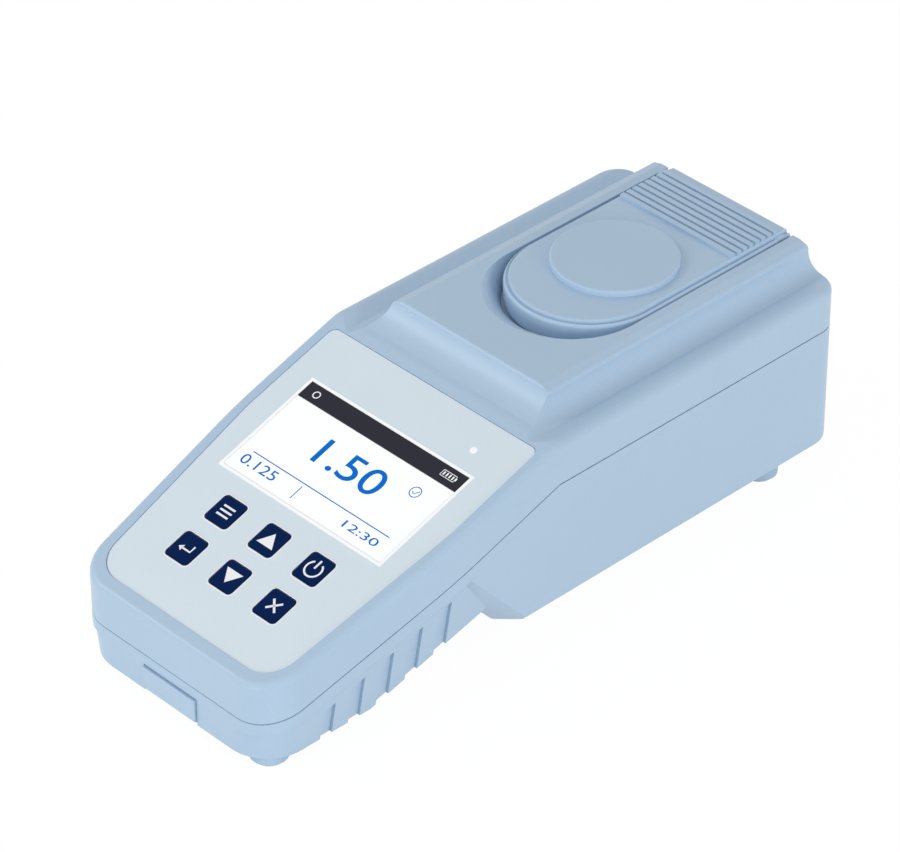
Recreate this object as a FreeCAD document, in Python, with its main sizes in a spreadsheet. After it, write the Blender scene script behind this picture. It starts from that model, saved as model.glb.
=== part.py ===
import FreeCAD, Part
import math
import os
import Sketcher

# Chemical oxygen demand analyzer: a portable photometer in a two-part moulded housing.
# Millimetres. +X is the instrument's right, +Y its rear, +Z up; the origin is on the table
# under the middle of the housing. Distances named "from front" start at the front face.

os.makedirs("parts", exist_ok=True)
doc = FreeCAD.newDocument("analyzer")
sheet = doc.addObject("Spreadsheet::Sheet", "Sizes")
Vector = FreeCAD.Vector
X_WAY = Vector(1, 0, 0)
Y_WAY = Vector(0, 1, 0)
Z_WAY = Vector(0, 0, 1)
TOUCH = 1e-6
NEARNESS = 0.05
BORDER = 0.45


# A size knows its number and the sheet expression that gives it.
class Size:
    def __init__(self, value, text):
        self.value = value
        self.text = text

    def __add__(self, other):
        other = as_size(other)
        return Size(self.value + other.value, f"({self.text} + {other.text})")

    def __sub__(self, other):
        other = as_size(other)
        return Size(self.value - other.value, f"({self.text} - {other.text})")

    def __mul__(self, other):
        other = as_size(other)
        return Size(self.value * other.value, f"({self.text} * {other.text})")

    def __truediv__(self, other):
        other = as_size(other)
        return Size(self.value / other.value, f"({self.text} / {other.text})")

    def __neg__(self):
        return Size(-self.value, f"(0 - {self.text})")

    def __radd__(self, other):
        return as_size(other) + self

    def __rsub__(self, other):
        return as_size(other) - self

    def __rmul__(self, other):
        return as_size(other) * self


def as_size(number):
    if isinstance(number, Size):
        return number
    return Size(float(number), repr(float(number)))


def sine(angle):
    return Size(math.sin(math.radians(angle.value)), f"sin({angle.text})")


def cosine(angle):
    return Size(math.cos(math.radians(angle.value)), f"cos({angle.text})")


def tangent(angle):
    return Size(math.tan(math.radians(angle.value)), f"tan({angle.text})")


def root(amount):
    return Size(math.sqrt(amount.value), f"sqrt({amount.text})")


sheet_rows = 0


def size(name, value):
    global sheet_rows
    sheet_rows += 1
    sheet.set(f"A{sheet_rows}", name)
    sheet.set(f"B{sheet_rows}", str(value))
    sheet.setAlias(f"B{sheet_rows}", name)
    return Size(float(value), f"Sizes.{name}")


# Housing outline
length = size("length", 222.0)
width = size("width", 92.2)
front_taper = size("front_taper", 5.6)
taper_length = size("taper_length", 66.6)
front_round = size("front_round", 13.5)
rear_round = size("rear_round", 8.5)
taper_blend = size("taper_blend", 8.0)
wall = size("wall", 2.4)
top_round = size("top_round", 2.2)

# Upper casing: sloping panel, shoulder and raised deck
panel_tilt = size("panel_tilt", 18.17)
panel_front_height = size("panel_front_height", 29.6)
panel_margin = size("panel_margin", 4.6)
panel_wall = size("panel_wall", 2.8)
shoulder_height = size("shoulder_height", 64.3)
shoulder_blend = size("shoulder_blend", 12.0)
deck_height = size("deck_height", 71.2)
shoulder_width = size("shoulder_width", 14.4)
deck_front = size("deck_front", 115.1)
deck_edge = size("deck_edge", 1.2)
deck_bevel = size("deck_bevel", 3.4)
deck_bevel_drop = size("deck_bevel_drop", 0.65)
ramp_foot = size("ramp_foot", 104.6)
ramp_round = size("ramp_round", 14.0)
cove_round = size("cove_round", 6.0)
cove_dip = size("cove_dip", 1.2)
shoulder_lip = size("shoulder_lip", 3.2)

# Parting line and seal
parting_drop = size("parting_drop", 13.35)
seam_gap = size("seam_gap", 0.4)
seam_inset = size("seam_inset", 0.5)
seam_width = size("seam_width", 1.3)

# Lower casing
rim_height = size("rim_height", 4.0)
grip_clearance = size("grip_clearance", 3.7)
grip_tuck = size("grip_tuck", 7.1)
grip_draft = size("grip_draft", 9.3)
grip_flat = size("grip_flat", 39.5)
box_clearance = size("box_clearance", 10.0)
box_front = size("box_front", 86.3)
box_front_angle = size("box_front_angle", 49.0)
box_edge = size("box_edge", 1.7)
channel_count = size("channel_count", 5)
channel_pitch = size("channel_pitch", 10.5)
channel_width = size("channel_width", 4.5)
channel_depth = size("channel_depth", 1.0)
channel_first = size("channel_first", 22.6)
channel_drop = size("channel_drop", 5.0)
corner_run = size("corner_run", 0.8)

# Feet
foot_diameter = size("foot_diameter", 11.4)
foot_edge = size("foot_edge", 1.0)
front_foot_tuck = size("front_foot_tuck", 9.3)
front_foot_along = size("front_foot_along", 8.6)
rear_foot_tuck = size("rear_foot_tuck", 11.9)
rear_foot_setback = size("rear_foot_setback", 20.2)

# Casing screws and bosses
screw_diameter = size("screw_diameter", 3.0)
screw_head = size("screw_head", 5.4)
screw_head_height = size("screw_head_height", 1.8)
screw_recess = size("screw_recess", 6.0)
screw_recess_depth = size("screw_recess_depth", 1.9)
screw_bite = size("screw_bite", 7.0)
boss_diameter = size("boss_diameter", 6.8)
front_boss_tuck = size("front_boss_tuck", 14.2)
front_boss_along = size("front_boss_along", 16.6)
rear_boss_tuck = size("rear_boss_tuck", 7.4)
middle_boss_along = size("middle_boss_along", 108.0)
rear_boss_setback = size("rear_boss_setback", 10.0)
fit = size("fit", 0.05)
ease = size("ease", 0.15)
overrun = size("overrun", 1.0)

# Panel overlay, display and keys, in the plane of the panel
overlay_recess = size("overlay_recess", 0.8)
overlay_thickness = size("overlay_thickness", 0.5)
overlay_side = size("overlay_side", 4.1)
overlay_narrowing = size("overlay_narrowing", 0.2)
overlay_taper = size("overlay_taper", 66.3)
overlay_length = size("overlay_length", 101.8)
overlay_front_round = size("overlay_front_round", 10.0)
overlay_rear_round = size("overlay_rear_round", 2.5)
bezel_width = size("bezel_width", 66.6)
bezel_height = size("bezel_height", 38.3)
bezel_start = size("bezel_start", 46.3)
bezel_border = size("bezel_border", 0.95)
bezel_sink = size("bezel_sink", 0.15)
glass_sink = size("glass_sink", 0.35)
module_border = size("module_border", 2.2)
key_width = size("key_width", 8.75)
key_length = size("key_length", 9.3)
key_pitch = size("key_pitch", 18.2)
key_row = size("key_row", 19.5)
key_row_pitch = size("key_row_pitch", 15.6)
key_rise = size("key_rise", 0.15)
key_round = size("key_round", 1.1)
key_clearance = size("key_clearance", 0.15)
key_flange = size("key_flange", 1.0)
key_flange_thickness = size("key_flange_thickness", 0.8)
key_travel = size("key_travel", 0.5)
stem_diameter = size("stem_diameter", 3.0)
stem_grip = size("stem_grip", 1.7)
switch_width = size("switch_width", 6.2)
switch_height = size("switch_height", 3.2)
lamp_diameter = size("lamp_diameter", 2.3)
lamp_across = size("lamp_across", 26.0)
lamp_setback = size("lamp_setback", 6.9)
lamp_chip = size("lamp_chip", 2.4)
lamp_chip_height = size("lamp_chip_height", 1.0)

# Main board
board_depth = size("board_depth", 8.0)
board_thickness = size("board_thickness", 1.6)
board_rim = size("board_rim", 0.5)
board_start = size("board_start", 15.0)
board_end = size("board_end", 98.0)
post_diameter = size("post_diameter", 6.0)
post_across = size("post_across", 62.0)
post_front = size("post_front", 19.0)
post_rear = size("post_rear", 94.5)
small_screw = size("small_screw", 2.2)
small_head = size("small_head", 4.2)
small_head_height = size("small_head_height", 1.5)
small_bite = size("small_bite", 4.0)

# Battery
cell_diameter = size("cell_diameter", 18.4)
cell_length = size("cell_length", 65.0)
cell_front = size("cell_front", 33.2)
cell_pitch = size("cell_pitch", 19.6)
cradle_floor = size("cradle_floor", 1.2)
cradle_rise = size("cradle_rise", 6.0)
cradle_start = size("cradle_start", 22.2)
cradle_end = size("cradle_end", 63.5)
cradle_width = size("cradle_width", 58.0)

# Port and its cover
port_width = size("port_width", 13.0)
port_height = size("port_height", 5.0)
port_bottom = size("port_bottom", 6.5)
port_depth = size("port_depth", 6.0)
port_frame = size("port_frame", 2.0)
port_board_width = size("port_board_width", 24.0)
port_board_length = size("port_board_length", 14.0)
port_board_thickness = size("port_board_thickness", 1.2)
connector_width = size("connector_width", 9.0)
connector_height = size("connector_height", 3.2)
connector_length = size("connector_length", 7.3)
connector_skin = size("connector_skin", 0.3)
tongue_width = size("tongue_width", 6.6)
tongue_thickness = size("tongue_thickness", 0.7)
cover_width = size("cover_width", 21.8)
cover_top = size("cover_top", 12.3)
cover_thickness = size("cover_thickness", 1.3)
cover_proud = size("cover_proud", 0.7)
cover_gap = size("cover_gap", 0.2)
cover_nail = size("cover_nail", 0.45)
cover_pivot_height = size("cover_pivot_height", 5.0)
cover_knuckle = size("cover_knuckle", 1.25)
cover_pin = size("cover_pin", 1.0)
cover_pin_reach = size("cover_pin_reach", 1.6)

# Lid, its recess and hinge
recess_width = size("recess_width", 50.8)
rim_share = size("rim_share", 0.25)
nose_share = size("nose_share", 0.393)
nose_gap = size("nose_gap", 0.5)
scoop_sag = size("scoop_sag", 1.3)
lid_floor = size("lid_floor", 7.2)
lid_clearance = size("lid_clearance", 0.5)
lid_rise = size("lid_rise", 1.3)
lid_skirt = size("lid_skirt", 7.6)
lid_wall = size("lid_wall", 2.0)
lid_edge = size("lid_edge", 1.2)
lid_step = size("lid_step", 0.9)
lid_groove = size("lid_groove", 0.8)
lid_groove_depth = size("lid_groove_depth", 0.4)
lid_overhang = size("lid_overhang", 3.3)
plate_inset = size("plate_inset", 1.5)
plate_edge = size("plate_edge", 0.6)
disc_diameter = size("disc_diameter", 38.2)
disc_height = size("disc_height", 1.9)
disc_edge = size("disc_edge", 0.7)
rib_count = size("rib_count", 8)
rib_setback = size("rib_setback", 0.2)
rib_pitch = size("rib_pitch", 2.56)
rib_width = size("rib_width", 1.7)
rib_height = size("rib_height", 0.9)
rib_margin = size("rib_margin", 2.0)
hinge_pin = size("hinge_pin", 2.0)
hinge_barrel = size("hinge_barrel", 6.0)
hinge_setback = size("hinge_setback", 0.5)
hinge_drop = size("hinge_drop", 0.4)
hinge_pin_reach = size("hinge_pin_reach", 3.0)
hinge_gap = size("hinge_gap", 3.0)
sill_gap = size("sill_gap", 1.5)

# Sample well and optics
vial_bore = size("vial_bore", 24.6)
well_setback = size("well_setback", 44.9)
well_floor = size("well_floor", 3.6)
well_neck = size("well_neck", 31.0)
well_flange = size("well_flange", 38.0)
well_flange_thickness = size("well_flange_thickness", 1.0)
block_width = size("block_width", 36.0)
block_height = size("block_height", 37.0)
beam_height = size("beam_height", 20.0)
beam_bore = size("beam_bore", 5.0)
holder_length = size("holder_length", 16.0)
holder_width = size("holder_width", 17.0)
source_diameter = size("source_diameter", 5.0)
source_length = size("source_length", 9.5)
lens_diameter = size("lens_diameter", 8.0)
lens_thickness = size("lens_thickness", 2.0)
filter_diameter = size("filter_diameter", 12.0)
filter_thickness = size("filter_thickness", 3.0)
detector_diameter = size("detector_diameter", 8.2)
detector_length = size("detector_length", 6.0)
base_flange = size("base_flange", 1.2)
base_flange_thickness = size("base_flange_thickness", 1.0)
optic_board_width = size("optic_board_width", 28.0)
optic_board_height = size("optic_board_height", 32.0)
optic_screw_spread = size("optic_screw_spread", 12.0)
seal_width = size("seal_width", 2.4)
seal_gap = size("seal_gap", 0.3)
seal_thickness = size("seal_thickness", 1.7)

doc.recompute()


# Positions along the housing start at the front face.
def along(distance):
    return as_size(distance) - (length - cover_proud) / 2


slope = tangent(panel_tilt)
half_width = width / 2
half_gap = seam_gap / 2
rear_face = along(length)
front_face = along(0)
front_width = width - 2 * front_taper
deck_width = width - 2 * shoulder_width
board_width = bezel_width + 2 * (module_border + board_rim)
lamp_along = bezel_start + bezel_height + lamp_setback

# Stations along the deck: the well keeps its distance from the lid's hinge line, and the nose of
# the lid and the rim in front of it share the room left between the well and the deck's front.
barrel_half = hinge_barrel / 2
hinge_along = length - hinge_setback - barrel_half
well_along = hinge_along - well_setback
deck_run = well_along - deck_front
lid_nose = deck_front + nose_share * deck_run
recess_half = recess_width / 2
recess_centre = deck_front + rim_share * deck_run + recess_half
lid_half = recess_half - lid_clearance * 3 / 2


def panel_height(distance):
    return panel_front_height + slope * distance


def parting_height(distance):
    return panel_height(distance) - parting_drop


crest = (shoulder_height - panel_front_height) / slope
parting_top = shoulder_height - parting_drop


# Object helpers: every size goes in as a sheet expression.
def bind(thing, name, amount):
    thing.setExpression(name, as_size(amount).text)


def place(thing, x=0, y=0, z=0):
    for axis, amount in zip("xyz", (x, y, z)):
        bind(thing, f"Placement.Base.{axis}", amount)
    return thing


def box(label, x, y, z):
    block = doc.addObject("Part::Box", label)
    for name, (low, high) in zip(("Length", "Width", "Height"), (x, y, z)):
        bind(block, name, as_size(high) - low)
    return place(block, x[0], y[0], z[0])


TURNS = {
    "x": FreeCAD.Rotation(Y_WAY, 90),
    "y": FreeCAD.Rotation(X_WAY, -90),
    "z": FreeCAD.Rotation(),
}


def rod(label, diameter, height, x=0, y=0, z=0, way="z"):
    cylinder = doc.addObject("Part::Cylinder", label)
    cylinder.Placement = FreeCAD.Placement(Vector(), TURNS[way])
    bind(cylinder, "Radius", as_size(diameter) / 2)
    bind(cylinder, "Height", height)
    return place(cylinder, x, y, z)


def join(label, *pieces):
    fused = doc.addObject("Part::MultiFuse", label)
    fused.Shapes = list(pieces)
    return fused


def cut(label, base, *tools):
    tool = tools[0]
    if len(tools) > 1:
        tool = join(label + "_tools", *tools)
    result = doc.addObject("Part::Cut", label)
    result.Base = base
    result.Tool = tool
    return result


def overlap(label, *pieces):
    shared = doc.addObject("Part::MultiCommon", label)
    shared.Shapes = list(pieces)
    return shared


def group(label, *pieces):
    compound = doc.addObject("Part::Compound", label)
    compound.Links = list(pieces)
    return compound


def body(label):
    return doc.addObject("PartDesign::Body", label)


# A closed outline: (x, y) ends a straight side, (x, y, r) ends an arc, whose radius is
# positive when it turns counter-clockwise.
def draw(owner, name, role, outlines, lift=0):
    sketch = owner.newObject("Sketcher::SketchObject", name)
    plane = [item for item in owner.Origin.OriginFeatures if item.Role == role][0]
    sketch.AttachmentSupport = [(plane, "")]
    sketch.MapMode = "FlatFace"
    bind(sketch, "AttachmentOffset.Base.z", lift)
    for outline in outlines:
        corners = [(as_size(entry[0]), as_size(entry[1])) for entry in outline]
        ends = []
        for index, entry in enumerate(outline):
            first = Vector(corners[index - 1][0].value, corners[index - 1][1].value, 0)
            last = Vector(corners[index][0].value, corners[index][1].value, 0)
            if len(entry) == 2:
                side = sketch.addGeometry(Part.LineSegment(first, last))
                ends.append((side, 1, 2))
                continue
            radius = as_size(entry[2])
            chord = last - first
            turn = math.copysign(1.0, radius.value)
            reach = math.sqrt(max(radius.value ** 2 - chord.Length ** 2 / 4, 0.0))
            inward = Vector(-chord.y, chord.x, 0).normalize() * turn
            centre = (first + last) * 0.5 + inward * reach
            circle = Part.Circle(centre, Z_WAY, abs(radius.value))
            start, finish = (first, last) if turn > 0 else (last, first)
            angles = [math.atan2(point.y - centre.y, point.x - centre.x) for point in (start, finish)]
            if angles[1] < angles[0]:
                angles[1] += 2 * math.pi
            side = sketch.addGeometry(Part.ArcOfCircle(circle, *angles))
            ends.append((side, 1, 2) if turn > 0 else (side, 2, 1))
            bound = sketch.addConstraint(Sketcher.Constraint("Radius", side, abs(radius.value)))
            text = radius.text if turn > 0 else (-radius).text
            sketch.setExpression(f"Constraints[{bound}]", text)
        for index, (side, head, tail) in enumerate(ends):
            following, next_head, _ = ends[(index + 1) % len(ends)]
            sketch.addConstraint(Sketcher.Constraint("Coincident", side, tail, following, next_head))
            for kind, amount in zip(("DistanceX", "DistanceY"), corners[index]):
                bound = sketch.addConstraint(Sketcher.Constraint(kind, -1, 1, side, tail, amount.value))
                sketch.setExpression(f"Constraints[{bound}]", amount.text)
    return sketch


def pad(owner, name, sketch, depth, middle=False, backwards=False):
    feature = owner.newObject("PartDesign::Pad", name)
    feature.Profile = sketch
    bind(feature, "Length", depth)
    feature.Midplane = middle
    feature.Reversed = backwards
    doc.recompute()
    return feature


def pocket_through(owner, name, sketch):
    feature = owner.newObject("PartDesign::Pocket", name)
    feature.Profile = sketch
    feature.Type = "ThroughAll"
    feature.Midplane = True
    before = owner.Shape.Volume
    doc.recompute()
    if owner.Shape.Volume > before - TOUCH:
        raise RuntimeError(name + " cuts nothing")
    return feature


# Rounds every edge of the body that the test picks.
def round_edges(owner, name, radius, picks):
    base = owner.Tip
    names = [f"Edge{index + 1}" for index, edge in enumerate(base.Shape.Edges) if picks(edge)]
    if not names:
        raise RuntimeError(name + " finds no edge")
    feature = owner.newObject("PartDesign::Fillet", name)
    feature.Base = (base, names)
    bind(feature, "Radius", radius)
    doc.recompute()
    return feature


def middle_of(edge):
    return edge.valueAt((edge.FirstParameter + edge.LastParameter) / 2)


def runs_along(edge, way):
    ends = [vertex.Point for vertex in edge.Vertexes]
    if len(ends) < 2:
        return False
    chord = ends[1] - ends[0]
    return chord.Length > TOUCH and abs(abs(chord.normalize().dot(way)) - 1) < TOUCH


def near(value, target):
    return abs(value - as_size(target).value) < NEARNESS


# Plan outline of the housing with its rounded corners, tapering towards the front and moved
# inwards by an amount.
flare = front_taper / taper_length


def plan_outline(inset):
    front_half = front_width / 2 + flare * inset - inset
    side_half = half_width - inset
    stretch = root(1 + flare * flare)
    start = along(taper_length - taper_blend)
    finish = along(taper_length + taper_blend * stretch)
    bend = taper_blend * stretch * (1 + stretch) / flare
    start_half = side_half - flare * taper_blend
    front_radius = front_round - inset
    rear_radius = rear_round - inset
    front_run = front_radius * (stretch - flare)
    corner_half = front_half + front_run * flare / stretch
    corner_end = front_face + inset + front_run / stretch
    return [
        (front_run - front_half, front_face + inset, front_radius),
        (front_half - front_run, front_face + inset),
        (corner_half, corner_end, front_radius),
        (start_half, start),
        (side_half, finish, bend),
        (side_half, rear_face - inset - rear_radius),
        (side_half - rear_radius, rear_face - inset, rear_radius),
        (rear_radius - side_half, rear_face - inset),
        (-side_half, rear_face - inset - rear_radius, rear_radius),
        (-side_half, finish),
        (-start_half, start, bend),
        (-corner_half, corner_end),
    ]


# Cuts the body back to the plan outline.
def trim_to_plan(owner, name, inset):
    reach = length
    frame = [(-reach, -reach), (reach, -reach), (reach, reach), (-reach, reach)]
    ring = draw(owner, name + "_plan", "XY_Plane", [frame, plan_outline(inset)])
    pocket_through(owner, name + "_trim", ring)


# Upper casing, outer form: panel slope, crest and shoulder.
upper_form = body("upper_form")
side_view = [
    (front_face, parting_height(0) + half_gap),
    (along(crest), parting_top + half_gap),
    (rear_face, parting_top + half_gap),
    (rear_face, shoulder_height),
    (along(crest), shoulder_height),
    (front_face, panel_front_height),
]
pad(upper_form, "upper_block", draw(upper_form, "upper_side", "YZ_Plane", [side_view]), width + wall, True)
round_edges(
    upper_form,
    "crest_blend",
    shoulder_blend,
    lambda edge: runs_along(edge, X_WAY)
    and near(middle_of(edge).y, along(crest))
    and near(middle_of(edge).z, shoulder_height),
)
trim_to_plan(upper_form, "upper", as_size(0))


def on_top_border(edge):
    point = middle_of(edge)
    top = min(panel_height(point.y - front_face.value).value, shoulder_height.value)
    inside = front_face.value + wall.value < point.y < rear_face.value - wall.value
    return abs(point.z - top) < BORDER and not (inside and runs_along(edge, X_WAY))


round_edges(upper_form, "top_edges", top_round, on_top_border)

# Raised deck with its concave ramp.
deck_form = body("deck_form")
cove_left = deck_width / 2
cove_centre = cove_left + cove_round
cove_floor = shoulder_height - cove_dip
brim = deck_height - deck_bevel_drop
ramp_top = deck_height - deck_edge
deck_side = [
    (along(ramp_foot), cove_floor - wall),
    (rear_face, cove_floor - wall),
    (rear_face, deck_height),
    (along(deck_front + deck_edge), deck_height),
    (along(deck_front), ramp_top, deck_edge),
    (along(ramp_foot), panel_height(ramp_foot), -ramp_round),
]
pad(deck_form, "deck_block", draw(deck_form, "deck_side", "YZ_Plane", [deck_side]), 2 * cove_centre, True)

# Coves along both sides of the deck, with a shallow fall across the shoulder.
cove_tools = []
for side, side_name in ((1, "right"), (-1, "left")):
    cove = body(f"cove_{side_name}")
    above = deck_height + wall
    section = [
        (side * (cove_left - deck_bevel), above),
        (side * (cove_left - deck_bevel), deck_height),
        (side * (cove_left - deck_edge), brim),
        (side * cove_left, brim - deck_edge, -side * deck_edge),
        (side * cove_left, cove_floor + cove_round),
        (side * cove_centre, cove_floor, side * cove_round),
        (side * (half_width - shoulder_lip), shoulder_height),
        (side * (half_width - shoulder_lip), above),
    ]
    cove_sketch = draw(cove, f"cove_section_{side_name}", "XZ_Plane", [section])
    pad(cove, f"cove_{side_name}_cut", cove_sketch, length + wall, True)
    cove_tools.append(cove)

# Recess that the lid lies in: a channel open to the rear with a scooped front.
recess_form = body("recess_form")
floor_half = recess_half - lid_clearance
foot_centre = lid_nose - nose_gap + floor_half
recess_floor = deck_height - lid_floor


def channel_outline(half, centre, rear):
    return [
        (half, rear),
        (-half, rear),
        (-half, along(centre)),
        (0, along(centre - half), half),
        (half, along(centre), half),
    ]


scoop_levels = (
    ("rim", deck_height, recess_half, recess_centre),
    ("throat", (deck_height + recess_floor) / 2, recess_half - lid_clearance / 2,
     (recess_centre + foot_centre) / 2 + scoop_sag),
    ("foot", recess_floor, floor_half, foot_centre),
)
scoop_sketches = []
for level_name, level, half, centre in scoop_levels:
    outline = channel_outline(half, centre, rear_face + wall)
    sketch = draw(recess_form, f"scoop_{level_name}", "XY_Plane", [outline], level)
    scoop_sketches.append(sketch)
scoop = recess_form.newObject("PartDesign::AdditiveLoft", "scoop")
scoop.Profile = scoop_sketches[0]
scoop.Sections = scoop_sketches[1:]
doc.recompute()

# Upper casing, hollow side.
upper_hollow = body("upper_hollow")
panel_inner = panel_wall / cosine(panel_tilt)
ceiling = shoulder_height - wall
inner_crest = (ceiling - panel_front_height + panel_inner) / slope
below = parting_height(0) - parting_drop
hollow_side = [
    (front_face + wall, below),
    (rear_face - wall, below),
    (rear_face - wall, ceiling),
    (along(inner_crest), ceiling),
    (front_face + wall, panel_height(wall) - panel_inner),
]
hollow_sketch = draw(upper_hollow, "upper_hollow_side", "YZ_Plane", [hollow_side])
pad(upper_hollow, "upper_hollow_block", hollow_sketch, width + wall, True)
trim_to_plan(upper_hollow, "upper_hollow", wall)
deck_hollow = box(
    "deck_hollow",
    (-cove_left + wall, cove_left - wall),
    (along(deck_front + wall), along(recess_centre - recess_half - wall)),
    (ceiling - wall, deck_height - wall),
)


# Panel frame: across, up the slope, and outwards from the panel's face.
def panel_place(thing, across, up, out):
    thing.Placement = FreeCAD.Placement(Vector(), FreeCAD.Rotation(X_WAY, panel_tilt.value))
    bind(thing, "Placement.Rotation.Angle", panel_tilt)
    rise = sine(panel_tilt)
    run = cosine(panel_tilt)
    y = along(panel_margin) + run * up - rise * out
    z = panel_height(panel_margin) + rise * up + run * out
    return place(thing, across, y, z)


def panel_box(label, across, up, out):
    block = doc.addObject("Part::Box", label)
    for name, (low, high) in zip(("Length", "Width", "Height"), (across, up, out)):
        bind(block, name, as_size(high) - low)
    return panel_place(block, across[0], up[0], as_size(out[0]))


# A cap or hole with rounded upright corners, centred on its place in the panel.
def panel_tile(label, across, up, out, corner):
    tile = body(label)
    x = across[1]
    y = up[1]
    outline = [
        (x - corner, -y),
        (x, corner - y, corner),
        (x, y - corner),
        (x - corner, y, corner),
        (corner - x, y),
        (-x, y - corner, corner),
        (-x, corner - y),
        (corner - x, -y, corner),
    ]
    sketch = draw(tile, label + "_outline", "XY_Plane", [outline])
    pad(tile, label + "_pad", sketch, as_size(out[1]) - out[0])
    return panel_place(tile, across[0], up[0], as_size(out[0]))


def panel_rod(label, diameter, across, up, out):
    cylinder = doc.addObject("Part::Cylinder", label)
    bind(cylinder, "Radius", as_size(diameter) / 2)
    bind(cylinder, "Height", as_size(out[1]) - out[0])
    return panel_place(cylinder, across, up, as_size(out[0]))


def spread(centre, extent):
    return (centre - extent / 2, centre + extent / 2)


# Overlay outline, a sheet with rounded corners that widens up the panel.
def overlay_plate(label, margin, out, thickness):
    plate = body(label)
    front_half = front_width / 2 - overlay_side + margin
    middle_half = half_width - overlay_side + margin
    rear_half = middle_half - overlay_narrowing
    outline = [
        (-front_half, -margin),
        (front_half, -margin),
        (middle_half, overlay_taper),
        (rear_half, overlay_length + margin),
        (-rear_half, overlay_length + margin),
        (-middle_half, overlay_taper),
    ]
    pad(plate, label + "_pad", draw(plate, label + "_outline", "XY_Plane", [outline]), thickness)
    ends = (
        ("front", overlay_front_round, -margin),
        ("rear", overlay_rear_round, overlay_length + margin),
    )
    for end_name, radius, station in ends:
        round_edges(
            plate,
            f"{label}_{end_name}",
            radius,
            lambda edge: runs_along(edge, Z_WAY) and near(middle_of(edge).y, station),
        )
    return panel_place(plate, as_size(0), as_size(0), as_size(out))


underside = -panel_wall
sheet_back = -overlay_recess
sheet_face = overlay_thickness - overlay_recess
recess_cut = overlay_plate("overlay_recess_cut", ease, sheet_back, wall)
overlay_sheet = overlay_plate("overlay_sheet", as_size(0), sheet_back, overlay_thickness)

key_names = ("enter", "down", "back", "menu", "up", "power")
key_places = []
for index, key_name in enumerate(key_names):
    column = index % 3 - 1
    row = index // 3
    key_places.append((key_name, column * key_pitch, key_row + row * key_row_pitch))

window_cuts = [
    panel_box(
        "display_opening",
        (-bezel_width / 2 - fit, bezel_width / 2 + fit),
        (bezel_start - fit, bezel_start + bezel_height + fit),
        (underside - wall, wall),
    ),
    panel_rod("lamp_opening", lamp_diameter + 2 * fit, lamp_across, lamp_along, (underside - wall, wall)),
]
for key_name, across, up in key_places:
    window_cuts.append(
        panel_tile(
            f"{key_name}_key_opening",
            (across, key_width / 2 + key_clearance),
            (up, key_length / 2 + key_clearance),
            (underside - wall, wall),
            key_round + key_clearance,
        )
    )
panel_overlay = cut("panel_overlay", overlay_sheet, *window_cuts)

# Bosses, posts and screw holes.
boss_places = []
for pair_name, spacing, station in (
    ("front", front_width - 2 * front_boss_tuck, front_boss_along),
    ("middle", width - 2 * rear_boss_tuck, middle_boss_along),
    ("rear", width - 2 * rear_boss_tuck, length - rear_boss_setback),
):
    for side, side_name in ((1, "right"), (-1, "left")):
        boss_places.append((f"{pair_name}_{side_name}", side * spacing / 2, station))


def seam_height(station):
    if station.value < crest.value:
        return parting_height(station)
    return parting_top


def floor_height(station):
    if station.value < box_front.value:
        return grip_clearance
    return box_clearance


upper_bosses = []
upper_pilots = []
lower_bosses = []
screw_holes = []
casing_screw_list = []
for boss_name, across, station in boss_places:
    joint = seam_height(station)
    bottom = floor_height(station)
    shelf = bottom + screw_recess_depth
    at = along(station)
    pitch_rise = slope * boss_diameter if station.value < crest.value else as_size(0)
    top = panel_height(station) - panel_wall / 2 if station.value < crest.value else ceiling + wall / 2
    upper_bosses.append(rod(f"upper_boss_{boss_name}", boss_diameter, top - joint + pitch_rise,
                            across, at, joint - pitch_rise))
    upper_pilots.append(rod(f"pilot_{boss_name}", screw_diameter + 2 * fit, screw_bite + pitch_rise + wall,
                            across, at, joint - pitch_rise - wall))
    lower_bosses.append(rod(f"lower_boss_{boss_name}", boss_diameter,
                            joint - bottom - wall / 2 + pitch_rise,
                            across, at, bottom + wall / 2))
    shank = screw_diameter + 4 * fit
    screw_holes.append(rod(f"shank_hole_{boss_name}", shank, joint - bottom + wall, across, at, bottom))
    screw_holes.append(rod(f"head_hole_{boss_name}", screw_recess, screw_recess_depth + wall,
                           across, at, bottom - wall))
    head = rod(f"screw_head_{boss_name}", screw_head, screw_head_height, across, at,
               shelf - screw_head_height)
    stem = rod(f"screw_stem_{boss_name}", screw_diameter, joint + screw_bite - wall - shelf, across, at,
               shelf)
    casing_screw_list.append(join(f"casing_screw_{boss_name}", head, stem))
casing_screws = group("casing_screws", *casing_screw_list)

posts = []
post_pilots = []
board_screw_list = []
board_front = -board_depth
board_back = -board_depth - board_thickness
for end_name, up in (("front", post_front), ("rear", post_rear)):
    for side, side_name in ((1, "right"), (-1, "left")):
        across = side * post_across / 2
        post_name = f"{end_name}_{side_name}"
        posts.append(panel_rod(f"post_{post_name}", post_diameter, across, up,
                               (board_front, underside + wall / 4)))
        pilot = panel_rod(f"post_pilot_{post_name}", small_screw + 2 * fit, across, up,
                          (board_back - wall, board_front + small_bite))
        post_pilots.append(pilot)
        screw_shank = panel_rod(f"board_shank_{post_name}", small_screw, across, up,
                                (board_back, board_front + small_bite - ease))
        screw_cap = panel_rod(f"board_head_{post_name}", small_head, across, up,
                              (board_back - small_head_height, board_back))
        board_screw_list.append(join(f"board_screw_{post_name}", screw_shank, screw_cap))
board_screws = group("board_screws", *board_screw_list)

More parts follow.
